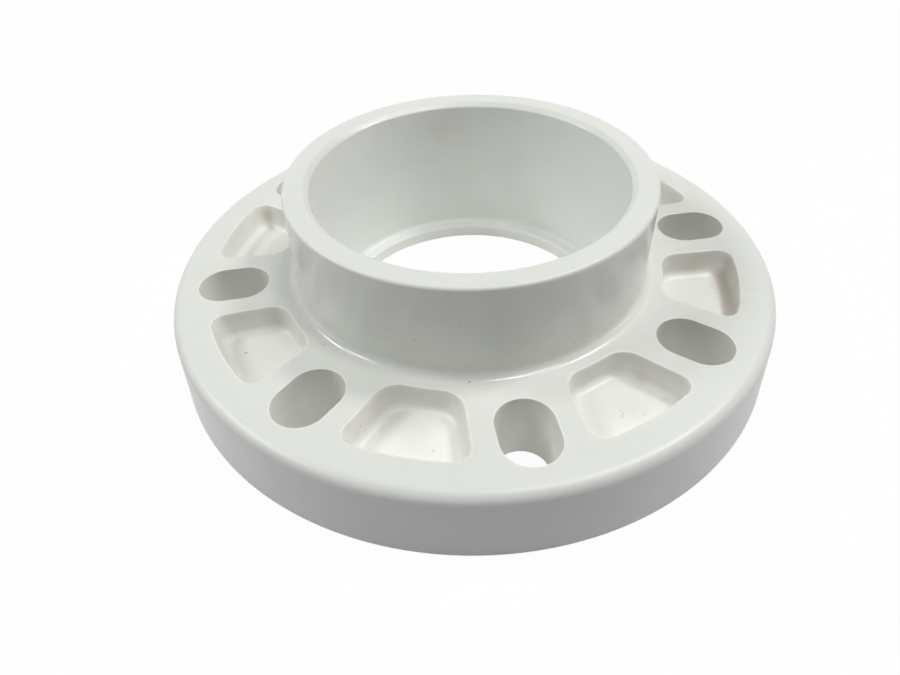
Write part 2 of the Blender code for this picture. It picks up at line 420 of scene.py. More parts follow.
slot_levels = rounded_line([
    ((-SLOT_TOP_ROUND - SUPPORT, 0.0), 0.0, 1),
    ((0.0, 0.0), SLOT_TOP_ROUND, 4),
    ((0.0, FLANGE_THICKNESS), SLOT_FOOT_ROUND, 3),
    ((-SLOT_FOOT_ROUND - SUPPORT, FLANGE_THICKNESS), 0.0, 1),
], LONGEST_RUN)
slot_walls = stack(slot_loop, slot_levels)
slot_edge = sector_loop(SLOT_HALF_STEPS)
slot_top = between(at_height(slot_edge, FLANGE_THICKNESS), slot_walls[0], FACE_SHARES)
slot_foot = between(slot_walls[-1], at_height(slot_edge, 0.0), FOOT_SHARES)

pocket_levels = rounded_line([
    ((-POCKET_EDGE_ROUND - SUPPORT, 0.0), 0.0, 1),
    ((0.0, 0.0), POCKET_EDGE_ROUND, 5),
    ((0.0, POCKET_DEPTH), POCKET_FLOOR_FILLET, 8),
    ((POCKET_FLOOR_FILLET + SUPPORT, POCKET_DEPTH), 0.0, 1),
], LONGEST_RUN)
pocket_walls = stack(pocket_loop, pocket_levels)
pocket_edge = sector_loop(POCKET_HALF_STEPS)
pocket_top = between(at_height(pocket_edge, FLANGE_THICKNESS), pocket_walls[0], FACE_SHARES)
halfway = (POCKET_INNER + POCKET_OUTER) / 2.0
pocket_middle = np.array([halfway, 0.0, FLANGE_THICKNESS - POCKET_DEPTH])
pocket_floor = between(pocket_walls[-1], pocket_middle, FLOOR_SHARES)
print("slot rows:", len(slot_walls), "pocket rows:", len(pocket_walls))

# %% [markdown]
# ## One closed mesh
#
# All the grids are turned into place, put into one list of points and faces, and welded where
# their edges meet. The weld compares coordinates rounded to a thousandth of a millimetre, which
# works because neighbours share the formula of their common edge. A closed mesh has exactly two
# faces on every edge, and the count of other edges is printed. A face's finish goes by the place of
# its middle: the hub's starts just above the disc, and the sealing face's takes in the grooves.

# %% Gather the surfaces
OUTSIDE, HUB, SOCKET, POCKET, SLOT, SEALING = range(6)
HUB_FINISH_START = 0.00025
GROOVE_MARGIN = 1.01
WELD = 1e-6


def turned_copies(points, angles):
    """Copies of a set of points turned about the axis by each angle."""
    cosine, sine, zero = np.cos(angles), np.sin(angles), 0.0 * angles
    turn = np.array([[cosine, -sine, zero], [sine, cosine, zero], [zero, zero, zero + 1.0]])
    return np.einsum("ijk,...j->k...i", turn, points)


def grid_faces(rows, columns, closed=True):
    """Four-cornered faces of a grid whose points are numbered row by row."""
    number = np.arange(rows * columns).reshape(rows, columns)
    following = np.roll(number, -1, axis=1)
    if not closed:
        number, following = number[:, :-1], following[:, :-1]
    faces = np.stack([number[:-1], number[1:], following[1:], following[:-1]], axis=-1)
    return faces.reshape(-1, 4)


class Surfaces:
    """The points and faces gathered so far, with the finish that each face gets."""

    def __init__(self):
        self.points = []
        self.quads = []
        self.fans = []
        self.count = 0

    def add_grid(self, grid, finish, closed=True):
        """One grid of points. Finish is a number for all faces, or one number a row of faces."""
        rows, columns = grid.shape[:2]
        faces = grid_faces(rows, columns, closed) + self.count
        per_row = len(faces) // (rows - 1)
        finish = np.broadcast_to(np.asarray(finish), rows - 1).repeat(per_row)
        self.quads.append(np.column_stack([faces, finish]))
        self.points.append(grid.reshape(-1, 3))
        self.count += rows * columns

    def add_fan(self, loop, middle, finish):
        """Triangles from a loop to one point in its middle."""
        number = np.arange(len(loop)) + self.count
        centre = np.full(len(loop), self.count + len(loop))
        finish = np.full(len(loop), finish)
        self.fans.append(np.column_stack([number, centre, np.roll(number, -1), finish]))
        self.points.append(np.concatenate([loop, middle[None, :]]))
        self.count += len(loop) + 1


def row_middles(profile):
    """Radius and height of the middle of each row of faces along a profile."""
    return (0.5 * (profile[1:] + profile[:-1])).T


surfaces = Surfaces()
radii, heights = row_middles(inner_profile)
in_socket = radii < MOUTH_RADIUS
on_sealing = heights < GROOVE_DEPTH * GROOVE_MARGIN
on_hub = (heights > FLANGE_THICKNESS + HUB_FINISH_START) & (heights < TOTAL_HEIGHT - HUB_TOP_ROUND)
inner_finish = np.select([on_sealing, in_socket, on_hub], [SEALING, SOCKET, HUB], OUTSIDE)
surfaces.add_grid(inner_walls, inner_finish)
_, heights = row_middles(outer_profile)
surfaces.add_grid(outer_walls, np.where(heights < FACE_EDGE_RADIUS, SEALING, OUTSIDE))

slot_angles = np.arange(SLOT_COUNT) * PITCH
pocket_angles = slot_angles + PITCH / 2.0
for part, finish in ((slot_top, OUTSIDE), (slot_walls, SLOT), (slot_foot, SEALING)):
    for copy in turned_copies(part, slot_angles):
        surfaces.add_grid(copy, finish)
for part, finish in ((pocket_top, OUTSIDE), (pocket_walls, POCKET), (pocket_floor, POCKET)):
    for copy in turned_copies(part, pocket_angles):
        surfaces.add_grid(copy, finish)
loops = turned_copies(pocket_floor[-1], pocket_angles)
for loop, middle in zip(loops, turned_copies(pocket_middle, pocket_angles)):
    surfaces.add_fan(loop, middle, POCKET)

side_radii = np.linspace(CELL_OUTER, CELL_INNER, SIDE_STEPS + 1)
sector_side = np.column_stack([side_radii, np.zeros(SIDE_STEPS + 1)])
sector_angles = np.arange(-POCKET_HALF_STEPS, POCKET_HALF_STEPS + 1) * STEP_ANGLE
for copy in turned_copies(revolved(sector_side, sector_angles), pocket_angles):
    surfaces.add_grid(copy, SEALING, closed=False)
print("points before welding:", surfaces.count)


# %% Weld and make the mesh
def welded(points, faces):
    """Merge points whose coordinates round to the same thousandth of a millimetre."""
    keys = np.round(points / WELD).astype(np.int64)
    _, first, inverse = np.unique(keys, axis=0, return_index=True, return_inverse=True)
    return points[first], [inverse.ravel()[corners] for corners in faces]


def mesh_from(name, points, quads, fans, finishes):
    """A smooth-shaded mesh of four-cornered and three-cornered faces."""
    mesh = bpy.data.meshes.new(name)
    mesh.vertices.add(len(points))
    mesh.vertices.foreach_set("co", points.astype(np.float32).ravel())
    corners = np.concatenate([quads.ravel(), fans.ravel()])
    sizes = np.concatenate([np.full(len(quads), 4), np.full(len(fans), 3)])
    mesh.loops.add(len(corners))
    mesh.loops.foreach_set("vertex_index", corners)
    mesh.polygons.add(len(sizes))
    mesh.polygons.foreach_set("loop_start", np.cumsum(sizes) - sizes)
    mesh.polygons.foreach_set("material_index", finishes)
    mesh.update(calc_edges=True)
    outward = bmesh.new()
    outward.from_mesh(mesh)
    bmesh.ops.recalc_face_normals(outward, faces=outward.faces)
    open_edges = sum(1 for edge in outward.edges if len(edge.link_faces) != 2)
    volume = outward.calc_volume() * 1e6
    print(f"{name}: {len(points)} points, volume {volume:.1f} cc, {open_edges} open edges")
    outward.to_mesh(mesh)
    outward.free()
    mesh.shade_smooth()
    return mesh


quads = np.concatenate(surfaces.quads)
fans = np.concatenate(surfaces.fans)
loose_points = np.concatenate(surfaces.points)
points, (quad_corners, fan_corners) = welded(loose_points, [quads[:, :4], fans[:, :3]])
finishes = np.concatenate([quads[:, 4], fans[:, 3]])
flange_mesh = mesh_from("moulded_flange", points, quad_corners, fan_corners, finishes)
flange = bpy.data.objects.new("moulded_flange", flange_mesh)
bpy.context.scene.collection.objects.link(flange)
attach(flange, "root")
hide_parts("socket_flange")
print("triangles:", 2 * len(quads) + len(fans))

# %% [markdown]
# ## The view
#
# The camera stands where the photographer's did. Its place, height and three angles were fitted
# together with the sizes, so the model covers the photo to about a pixel. A point of the photo can
# then be sent back onto the model: the ray through it is followed to the first surface it meets.

# %% Camera
PHOTO_WIDTH, PHOTO_HEIGHT = 900, 675
FOCAL_PIXELS = 681.461
CAMERA_DISTANCE = 0.219513
CAMERA_HEIGHT = 0.185356
CAMERA_YAW = math.radians(-2.425)
CAMERA_PITCH = math.radians(-42.829)
CAMERA_ROLL = math.radians(-2.461)
VIEW_TURN = math.radians(10.46)
SENSOR_WIDTH = 36.0

forward = np.array([
    math.sin(CAMERA_YAW) * math.cos(CAMERA_PITCH),
    math.cos(CAMERA_YAW) * math.cos(CAMERA_PITCH),
    math.sin(CAMERA_PITCH),
])
level = unit(np.cross(forward, (0.0, 0.0, 1.0)))
upright = np.cross(level, forward)
right = level * math.cos(CAMERA_ROLL) + upright * math.sin(CAMERA_ROLL)
upward = upright * math.cos(CAMERA_ROLL) - level * math.sin(CAMERA_ROLL)
placing = Matrix.Identity(4)
for row in range(3):
    placing[row][0] = right[row]
    placing[row][1] = upward[row]
    placing[row][2] = -forward[row]
placing.translation = (0.0, -CAMERA_DISTANCE, CAMERA_HEIGHT)

camera_data = bpy.data.cameras.new("camera")
camera_data.sensor_width = SENSOR_WIDTH
camera_data.lens = SENSOR_WIDTH * FOCAL_PIXELS / PHOTO_WIDTH
camera = bpy.data.objects.new("camera", camera_data)
camera.matrix_world = Matrix.Rotation(-VIEW_TURN, 4, "Z") @ placing
bpy.context.scene.collection.objects.link(camera)
bpy.context.scene.camera = camera
print("lens in mm:", round(camera_data.lens, 2))

# %% From a photo point back to the plastic
all_corners = quad_corners.tolist() + fan_corners.tolist()
surface_tree = BVHTree.FromPolygons(points.tolist(), all_corners)


def on_surface(pixel_x, pixel_y):
    """The point of the flange that a photo pixel shows."""
    across = (pixel_x - PHOTO_WIDTH / 2.0) / FOCAL_PIXELS
    down = (pixel_y - PHOTO_HEIGHT / 2.0) / FOCAL_PIXELS
    ray = camera.matrix_world.to_3x3() @ Vector((across, -down, -1.0)).normalized()
    hit, _, _, _ = surface_tree.ray_cast(camera.matrix_world.translation, ray)
    return tuple(hit)


print("the photo's middle shows:", on_surface(PHOTO_WIDTH / 2.0, PHOTO_HEIGHT / 2.0))

# %% [markdown]
# ## Specks and painted shade
#
# White plastic shows every grain of burnt material. A few lie at or just under the skin, so some
# are dark and some are only a grey shadow. They are listed by the photo pixel that shows them, with
# a size and a darkness, and a few more are put on the sides that the photo doesn't show, at an
# azimuth, radius and height. One is a fibre: a row of small specks along a bent line. The second
# list is the same thing, but wide, soft and brown. It is painted shade in the pockets' corners, at
# the hub's foot, in the slots and on the front pocket's floor, partly stains as well, and a painted
# reflection on the socket's far wall. A row of them paints the shade at the foot of one pocket's
# rim wall. A texture could hold both, but it would have to be painted again for another size.

# %% Where the specks are
SPECK_RADIUS = 0.00030
seen_specks = {
    "pocket floor, left": (246.0, 353.0, 1.8, 0.42),
    "left of the hub's foot": (323.5, 344.5, 2.2, 0.15),
    "hub front, low": (413.5, 340.5, 0.9, 0.55),
    "hub front, right": (574.5, 342.0, 1.0, 0.40),
    "hub front, high": (461.0, 326.0, 1.3, 0.16),
    "land before the hub": (469.5, 382.0, 1.1, 0.62),
    "front pocket, left wall": (360.5, 426.0, 0.9, 0.50),
    "front pocket, edge": (370.0, 450.0, 1.6, 0.13),
    "front pocket, floor": (433.5, 451.0, 1.0, 0.50),
    "right pocket, fibre's foot": (622.3, 417.3, 1.2, 0.35),
    "right pocket, faint": (634.0, 410.0, 0.9, 0.32),
    "right pocket, grain": (645.0, 414.5, 1.5, 0.17),
    "front left slot, grain": (311.0, 397.0, 1.5, 0.10),
    "rim, left": (241.0, 463.0, 1.2, 0.30),
}
unseen_specks = {
    "rim, behind": (95.0, 0.1140, 0.0140, 1.3, 0.45),
    "rim, behind right": (40.0, 0.1146, 0.0080, 0.9, 0.50),
    "hub, behind": (118.0, 0.0671, 0.0450, 1.4, 0.25),
    "hub, behind left": (160.0, 0.0670, 0.0520, 0.8, 0.55),
    "sealing face, inner": (30.0, 0.0800, 0.0, 1.2, 0.50),
    "sealing face, outer": (210.0, 0.1080, 0.0, 1.5, 0.40),
    "sealing face, web": (250.0, 0.0900, 0.0, 0.9, 0.55),
}
# Painted shade, partly stains: soft brown spots in pocket corners, at the hub's foot, in the slots
# and on the front pocket's floor, and a painted reflection on the socket's far wall.
seen_shade_and_stains = {
    "hub's left foot": (385.0, 328.0, 5.0, 0.06),
    "back pocket's corner": (283.0, 190.0, 3.5, 0.25),
    "socket, far wall": (447.0, 127.0, 40.0, 0.07),
    "back left pocket's corner": (268.0, 215.0, 11.0, 0.30),
    "left pocket's hub wall": (273.0, 318.0, 15.0, 0.16),
    "right pocket's hub corner": (640.0, 376.0, 15.0, 0.16),
    "right pocket's rim corner": (668.0, 399.0, 9.0, 0.16),
    "far right pocket's corner": (727.0, 263.0, 14.0, 0.18),
    "far right pocket's hub wall": (692.0, 266.0, 24.0, 0.18),
    "far right pocket's rim wall": (731.0, 296.0, 18.0, 0.22),
    "front pocket": (412.0, 432.0, 36.0, 0.05),
    "left slot": (225.0, 283.0, 45.0, 0.08),
    "right slot": (695.0, 338.0, 45.0, 0.07),
    "far right slot": (690.0, 222.0, 45.0, 0.09),
}
FIBRE_BENDS = ((619.7, 410.4), (622.6, 412.3), (623.6, 414.4), (621.7, 415.8), (622.3, 417.3))
FIBRE_SPECKS, FIBRE_SIZE, FIBRE_DARKNESS = 12, 0.60, 0.30
# A row of painted shade along the foot of one pocket's rim wall.
RIM_FOOT_ENDS = ((721.0, 277.0), (734.0, 310.0))
RIM_FOOT_SHADE_SPOTS, RIM_FOOT_SIZE, RIM_FOOT_DARKNESS = 8, 17.0, 0.43


def row_of_spots(bends, count, size, darkness):
    """Equal spots along a bent line, with as many on the way to each next bend."""
    bends = np.array(bends)
    bend_places = np.linspace(0.0, 1.0, len(bends))
    places = np.linspace(0.0, 1.0, count)
    across = np.interp(places, bend_places, bends[:, 0])
    down = np.interp(places, bend_places, bends[:, 1])
    return [(x, y, size, darkness) for x, y in zip(across, down)]


def placed_spots(seen, unseen=()):
    """Each spot's centre, radius and darkness, from the two kinds of list."""
    spots = [(on_surface(x, y), SPECK_RADIUS * size, darkness) for x, y, size, darkness in seen]
    for azimuth, radius, height, size, darkness in unseen:
        turn = math.radians(azimuth)
        centre = (radius * math.cos(turn), radius * math.sin(turn), height)
        spots.append((centre, SPECK_RADIUS * size, darkness))
    return spots


fibre = row_of_spots(FIBRE_BENDS, FIBRE_SPECKS, FIBRE_SIZE, FIBRE_DARKNESS)
rim_foot_shade = row_of_spots(RIM_FOOT_ENDS, RIM_FOOT_SHADE_SPOTS, RIM_FOOT_SIZE, RIM_FOOT_DARKNESS)
specks = placed_spots([*seen_specks.values(), *fibre], unseen_specks.values())
shade_and_stains = placed_spots([*seen_shade_and_stains.values(), *rim_foot_shade])
print("specks:", len(specks), "stains:", len(shade_and_stains))

# %% [markdown]
# ## Shader groups
#
# The finishes share their effects, so each effect is a group with named sockets. All of them work
# from the object's own coordinates in metres: the flange needs no unwrapping, and a pattern stays
# where it is when the part is turned.

# %% Helpers for nodes
def fill(tree, socket, value):
    """Give a socket a value, or a link where the value is another node's socket."""
    if isinstance(value, bpy.types.NodeSocket):
        tree.links.new(value, socket)
    else:
        socket.default_value = value


def calculate(tree, operation, first, second=0.0, clamp=False):
    """A Math node's result."""
    node = tree.nodes.new("ShaderNodeMath")
    node.operation = operation
    node.use_clamp = clamp
    fill(tree, node.inputs[0], first)
    fill(tree, node.inputs[1], second)
    return node.outputs[0]


def ramp(tree, value, low, high):
    """Zero at the low value and one at the high value, with a soft step between them."""
    node = tree.nodes.new("ShaderNodeMapRange")
    node.interpolation_type = "SMOOTHSTEP"
    fill(tree, node.inputs["Value"], value)
    fill(tree, node.inputs["From Min"], low)
    fill(tree, node.inputs["From Max"], high)
    return node.outputs["Result"]


def blend(tree, factor, first, second):
    """A mix of two colours."""
    node = tree.nodes.new("ShaderNodeMix")
    node.data_type = "RGBA"
    fill(tree, node.inputs["Factor"], factor)
    fill(tree, node.inputs[6], first)
    fill(tree, node.inputs[7], second)
    return node.outputs[2]


def noise(tree, position, grain, detail=2.0, stretch=(1.0, 1.0, 1.0)):
    """Soft noise whose spots are about one grain across, in metres, and may be stretched."""
    mapping = tree.nodes.new("ShaderNodeMapping")
    fill(tree, mapping.inputs["Vector"], position)
    mapping.inputs["Scale"].default_value = tuple(share / grain for share in stretch)
    node = tree.nodes.new("ShaderNodeTexNoise")
    node.inputs["Scale"].default_value = 1.0
    node.inputs["Detail"].default_value = detail
    tree.links.new(mapping.outputs["Vector"], node.inputs["Vector"])
    return node.outputs["Fac"]


def new_group(name, inputs, outputs):
    """An empty group: returns its tree, its named inputs, and the sockets that take its results."""
    tree = bpy.data.node_groups.new(name, "ShaderNodeTree")
    kinds = {float: "NodeSocketFloat", tuple: "NodeSocketColor", None: "NodeSocketVector"}
    for label, default in inputs.items():
        kind = kinds[None if default is None else type(default)]
        socket = tree.interface.new_socket(label, in_out="INPUT", socket_type=kind)
        if default is not None:
            socket.default_value = default
    for label, kind in outputs.items():
        tree.interface.new_socket(label, in_out="OUTPUT", socket_type=kinds[kind])
    given = tree.nodes.new("NodeGroupInput").outputs
    return tree, given, tree.nodes.new("NodeGroupOutput").inputs


def use_group(tree, group, **inputs):
    """Place a group in a material. An input's name is written with underscores for spaces."""
    node = tree.nodes.new("ShaderNodeGroup")
    node.node_tree = group
    for label, value in inputs.items():
        fill(tree, node.inputs[label.replace("_", " ")], value)
    return node.outputs


print("node helpers: fill, calculate, ramp, blend, noise, new_group, use_group")

# %% [markdown]
# The plastic isn't one even white. The melt flowed in streaks, and fillers left clouds that are a
# shade greyer or greener. Two noises of different size make the clouds uneven in strength.

# %% Group: cloudy tone
LARGE_CLOUD, SMALL_CLOUD = 0.034, 0.007
cloudy_tone, given, result = new_group(
    "cloudy tone",
    {
        "Position": None,
        "Main Colour": (0.84, 0.86, 0.80, 1.0),
        "Cloud Colour": (0.80, 0.83, 0.76, 1.0),
        "Amount": 0.75,
    },
    {"Colour": tuple},
)
position = given["Position"]
large_clouds = ramp(cloudy_tone, noise(cloudy_tone, position, LARGE_CLOUD, 3.0), 0.36, 0.64)
small_clouds = ramp(cloudy_tone, noise(cloudy_tone, position, SMALL_CLOUD, 2.0), 0.30, 0.75)
clouds = calculate(cloudy_tone, "MULTIPLY", large_clouds, small_clouds)
share = calculate(cloudy_tone, "MULTIPLY", clouds, given["Amount"], clamp=True)
tone = blend(cloudy_tone, share, given["Main Colour"], given["Cloud Colour"])
fill(cloudy_tone, result["Colour"], tone)
print("cloudy tone:", len(cloudy_tone.nodes), "nodes")

# %% [markdown]
# A polished mould still leaves long shallow waves, where the thick walls shrank unevenly, and a
# fine grain. Heights are in metres: a wave of hundredths of a millimetre bends a reflection.

# %% Group: moulded skin
WAVE_LENGTH, GRAIN_SIZE, PATCH_SIZE = 0.020, 0.0011, 0.012
moulded_skin, given, result = new_group(
    "moulded skin",
    {
        "Position": None,
        "Wave Height": 0.00003,
        "Grain Height": 0.000002,
        "Roughness": 0.3,
        "Patchiness": 0.1,
    },
    {"Height": float, "Roughness": float},
)
position = given["Position"]
waves = noise(moulded_skin, position, WAVE_LENGTH, 1.0)
waves = calculate(moulded_skin, "MULTIPLY", waves, given["Wave Height"])
grain = noise(moulded_skin, position, GRAIN_SIZE, 2.0)
grain = calculate(moulded_skin, "MULTIPLY", grain, given["Grain Height"])
fill(moulded_skin, result["Height"], calculate(moulded_skin, "ADD", waves, grain))
patches = calculate(moulded_skin, "SUBTRACT", noise(moulded_skin, position, PATCH_SIZE, 3.0), 0.5)
patches = calculate(moulded_skin, "MULTIPLY", patches, given["Patchiness"])
patchy = calculate(moulded_skin, "ADD", given["Roughness"], patches, clamp=True)
fill(moulded_skin, result["Roughness"], patchy)
print("moulded skin:", len(moulded_skin.nodes), "nodes")

# %% [markdown]
# The specks are small soft balls round the listed points: a point of the surface is dark where its
# distance to the nearest of them is under the speck's radius. A Boolean or a decal for each would
# be far heavier than one distance.

# %% Groups: dark specks, and painted shade with stains
SPECK_FADE, SHADE_AND_STAIN_FADE = (1.35, 0.55), (1.2, 0.0)


def spots_group(name, spots, outer, inner):
    """A group that is each spot's darkness inside it, fading between two shares of its radius."""
    tree, given, result = new_group(name, {"Position": None}, {"Mask": float})
    mask = 0.0
    for centre, radius, darkness in spots:
        distance = tree.nodes.new("ShaderNodeVectorMath")
        distance.operation = "DISTANCE"
        fill(tree, distance.inputs[0], given["Position"])
        fill(tree, distance.inputs[1], centre)
        spot = ramp(tree, distance.outputs["Value"], outer * radius, inner * radius)
        mask = calculate(tree, "MAXIMUM", calculate(tree, "MULTIPLY", spot, darkness), mask)
    fill(tree, result["Mask"], mask)
    return tree


dark_specks = spots_group("dark specks", specks, *SPECK_FADE)
# The second group paints shade, partly stains, as soft brown spots.
shade_and_stains_group = spots_group("painted shade and stains", shade_and_stains, *SHADE_AND_STAIN_FADE)
print("dark specks:", len(dark_specks.nodes), "nodes, painted shade and stains:", len(shade_and_stains_group.nodes))

# %% [markdown]
# Painted shade, warm as light that bounced inside a hollow, darkens what lies deep: the foot of the
# pocket walls and the slots. It grows with the depth under the disc's top face, shows on leaning
# and upright walls more than on floors, and is broken up by noise.

# %% Group: recess shade, painted
# Painted shade: a warm darkening that grows with depth on the walls of pockets and slots.
SHADE_PATCH = 0.012
recess_shade, given, result = new_group(
    "recess shade",
    {
        "Position": None,
        "Clean Colour": (0.8, 0.8, 0.8, 1.0),
        "Dust Colour": (0.55, 0.48, 0.40, 1.0),
        "Full Depth": 0.0025,
        "Amount": 0.5,
    },
    {"Colour": tuple},
)
place = recess_shade.nodes.new("ShaderNodeSeparateXYZ")
fill(recess_shade, place.inputs[0], given["Position"])
sunk = calculate(recess_shade, "SUBTRACT", FLANGE_THICKNESS, place.outputs["Z"])
sunk = calculate(recess_shade, "DIVIDE", sunk, given["Full Depth"])
deep = ramp(recess_shade, sunk, 0.05, 1.0)
facing = recess_shade.nodes.new("ShaderNodeSeparateXYZ")
coordinates = recess_shade.nodes.new("ShaderNodeTexCoord")
fill(recess_shade, facing.inputs[0], coordinates.outputs["Normal"])
steep = ramp(recess_shade, calculate(recess_shade, "ABSOLUTE", facing.outputs["Z"]), 0.85, 0.25)
uneven = ramp(recess_shade, noise(recess_shade, given["Position"], SHADE_PATCH, 4.0), 0.15, 0.60)
shaded = calculate(recess_shade, "MULTIPLY", calculate(recess_shade, "MULTIPLY", deep, steep), uneven)
shaded = calculate(recess_shade, "MULTIPLY", shaded, given["Amount"], clamp=True)
tone = blend(recess_shade, shaded, given["Clean Colour"], given["Dust Colour"])
fill(recess_shade, result["Colour"], tone)
print("recess shade:", len(recess_shade.nodes), "nodes")

# %% [markdown]
# Parts rub against each other in their box. The rubs are faint thin streaks that are a little
# duller than the skin round them, in two directions, and only here and there.

# %% Group: rub marks
RUB_SIZE, RUBBED_AREA = 0.006, 0.030
RUB_STRETCHES = ((9.0, 0.35, 1.0), (0.5, 7.0, 1.0))
rub_marks, given, result = new_group(
    "rub marks", {"Position": None, "Amount": 0.5}, {"Mask": float},
)
position = given["Position"]
streaks = 0.0
for stretch in RUB_STRETCHES:
    thin = ramp(rub_marks, noise(rub_marks, position, RUB_SIZE, 3.0, stretch), 0.56, 0.82)
    streaks = calculate(rub_marks, "MAXIMUM", thin, streaks)
here = ramp(rub_marks, noise(rub_marks, position, RUBBED_AREA, 1.0), 0.50, 0.62)
streaks = calculate(rub_marks, "MULTIPLY", streaks, here)
streaks = calculate(rub_marks, "MULTIPLY", streaks, given["Amount"], clamp=True)
fill(rub_marks, result["Mask"], streaks)
print("groups:", [group.name for group in bpy.data.node_groups])

# %% [markdown]
# ## Six finishes on one moulding
#
# All surfaces are the same plastic, but each side of the mould left its own finish. The disc was
# polished and the hub still more, so that it mirrors the slots beside it. The core that formed the
# socket has fine marks along its draw. Pockets and slots came from inserts and darken with a
# painted warm shade, and the sealing face is satin with fine turned rings. Socket, pockets and
# slots are also painted a lighter white, which stands in for the light that bounces inside them.

# %% Colours and shine of the finishes
PLASTIC = (0.835, 0.858, 0.805, 1.0)
# Painted light: socket, pocket and slot plastic are lighter copies of the plastic, for the light
# bouncing inside them.
SOCKET_PLASTIC_PAINTED_LIGHT = (0.872, 0.890, 0.852, 1.0)
POCKET_PLASTIC_PAINTED_LIGHT = (0.899, 0.912, 0.869, 1.0)
SLOT_PLASTIC_PAINTED_LIGHT = (0.916, 0.926, 0.889, 1.0)
CLOUD_SHARES = (0.964, 0.976, 0.960, 1.0)
SPECK_COLOUR = (0.045, 0.040, 0.035, 1.0)
# Brown of the painted shade and stains.
SHADE_AND_STAIN_COLOUR = (0.380, 0.250, 0.180, 1.0)
# Warm colour of the painted shade in pockets and slots.
WARM_SHADE = (0.610, 0.470, 0.380, 1.0)
RING_PITCH = 0.0007
RING_HEIGHT = 0.000004
DRAW_MARK_HEIGHT = 0.000006
DRAW_MARK_WIDTH = 0.0016
DRAW_MARK_STRETCH = (1.0, 1.0, 0.04)
RUB_DULLING = 0.12
PLASTIC_IOR = 1.52

# In this order: colour, wave height, grain height, roughness, painted recess shade, rubs.
finishes_by_name = {
    "polished disc": (PLASTIC, 0.000035, 0.0000012, 0.38, 0.0, 0.15),
    "polished hub": (PLASTIC, 0.000030, 0.0000006, 0.19, 0.0, 0.10),
    "socket wall": (SOCKET_PLASTIC_PAINTED_LIGHT, 0.000012, 0.0000016, 0.40, 0.0, 0.10),
    "pocket wall": (POCKET_PLASTIC_PAINTED_LIGHT, 0.00003, 0.000001, 0.38, 0.20, 0.05),
    "slot wall": (SLOT_PLASTIC_PAINTED_LIGHT, 0.00002, 0.000002, 0.46, 0.08, 0.3),
    "sealing face": (PLASTIC, 0.00003, 0.0000025, 0.46, 0.0, 0.8),
}


def finish_material(name, colour, wave, grain, roughness, painted_shade, rubs):
    """One finish: clouds, painted recess shade, painted shade with stains, and specks for colour,
    skin and rubs for shine.
    """
    material = bpy.data.materials.new(name)
    material.use_nodes = True
    tree = material.node_tree
    shader = tree.nodes["Principled BSDF"]
    position = tree.nodes.new("ShaderNodeTexCoord").outputs["Object"]
    cloud = tuple(np.multiply(colour, CLOUD_SHARES))
    clouded = use_group(
        tree, cloudy_tone,
        Position=position, Main_Colour=colour, Cloud_Colour=cloud,
    )
    tone = clouded["Colour"]
    # Painted shade, warm and growing with depth, on pocket and slot walls.
    if painted_shade:
        recess_shaded = use_group(
            tree, recess_shade,
            Position=position, Clean_Colour=tone, Dust_Colour=WARM_SHADE, Amount=painted_shade,
        )
        tone = recess_shaded["Colour"]
    # Painted shade and stains, soft and brown, over the plastic's tone.
    shaded_and_stained = use_group(tree, shade_and_stains_group, Position=position)["Mask"]
    tone = blend(tree, shaded_and_stained, tone, SHADE_AND_STAIN_COLOUR)
    specked = use_group(tree, dark_specks, Position=position)["Mask"]
    tone = blend(tree, specked, tone, SPECK_COLOUR)
    fill(tree, shader.inputs["Base Color"], tone)
    skin = use_group(
        tree, moulded_skin,
        Position=position, Wave_Height=wave, Grain_Height=grain, Roughness=roughness,
    )
    rubbed = use_group(tree, rub_marks, Position=position, Amount=rubs)["Mask"]
    duller = calculate(tree, "MULTIPLY", rubbed, RUB_DULLING)
    shine = calculate(tree, "ADD", skin["Roughness"], duller, clamp=True)
    fill(tree, shader.inputs["Roughness"], shine)
    shader.inputs["IOR"].default_value = PLASTIC_IOR
    height = skin["Height"]
    if name == "sealing face":
        height = calculate(tree, "ADD", height, turned_rings(tree, position))
    if name == "socket wall":
        height = calculate(tree, "ADD", height, draw_marks(tree, position))
    bump = tree.nodes.new("ShaderNodeBump")
    bump.inputs["Distance"].default_value = 1.0
    fill(tree, bump.inputs["Height"], height)
    fill(tree, shader.inputs["Normal"], bump.outputs["Normal"])
    return material


def turned_rings(tree, position):
    """Height of the rings left by the lathe that cut the mould: a sine along the radius."""
    parts = tree.nodes.new("ShaderNodeSeparateXYZ")
    fill(tree, parts.inputs[0], position)
    squares = []
    for axis in ("X", "Y"):
        length = calculate(tree, "ABSOLUTE", parts.outputs[axis])
        squares.append(calculate(tree, "POWER", length, 2.0))
    radius = calculate(tree, "SQRT", calculate(tree, "ADD", *squares))
    turns = calculate(tree, "MULTIPLY", radius, 2.0 * math.pi / RING_PITCH)
    return calculate(tree, "MULTIPLY", calculate(tree, "SINE", turns), RING_HEIGHT)


def draw_marks(tree, position):
    """Height of the fine marks that the socket's core left along the axis."""
    marks = noise(tree, position, DRAW_MARK_WIDTH, 2.0, DRAW_MARK_STRETCH)
    return calculate(tree, "MULTIPLY", marks, DRAW_MARK_HEIGHT)


for name, choices in finishes_by_name.items():
    flange.data.materials.append(finish_material(name, *choices))
print("materials:", [material.name for material in flange.data.materials])

# %% [markdown]
# ## Floor and backdrop
#
# The photo's background is pure white. Making it so with more light would burn out the plastic, so
# the floor and the room answer camera, mirror and see-through rays with plain white, and other rays
# with the grey that the fitted light needs, a little lavender as the rim's underlight is. Slots and
# socket are brighter inside than such a floor makes them, so right under the flange lies white. A
# share of the floor stays an ordinary matt surface, which keeps the object's soft shadow.

